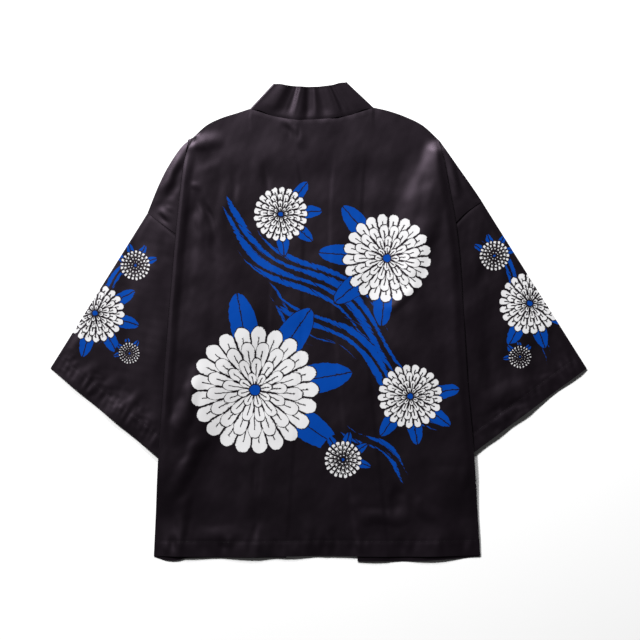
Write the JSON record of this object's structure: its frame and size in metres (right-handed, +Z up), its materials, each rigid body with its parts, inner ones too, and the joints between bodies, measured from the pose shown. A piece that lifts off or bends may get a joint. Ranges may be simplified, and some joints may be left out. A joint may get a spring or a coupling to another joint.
{
  "type": "kimono cardigan",
  "caption": "Open-front kimono cardigan with wide three-quarter sleeves and a neckband, laid flat with its back up and each side folded over its sleeve.",
  "frame": {"origin": "on the surface the garment lies on, under the middle of its outline", "axes": "+Z up from that surface through the layers, +Y from the hem to the neckband, +X to the wearer's right cuff"},
  "size_m": [0.879, 0.7861, 0.0138],
  "materials": {
    "cloth": "satin woven polyester, printed white and royal blue on black",
    "band": "plain black satin"
  },
  "bodies": {
    "root": {"back": "cloth", "front_left": "cloth", "front_right": "cloth", "sleeve_left": "cloth", "sleeve_right": "cloth", "neckband": "band"}
  },
  "joints": []
}
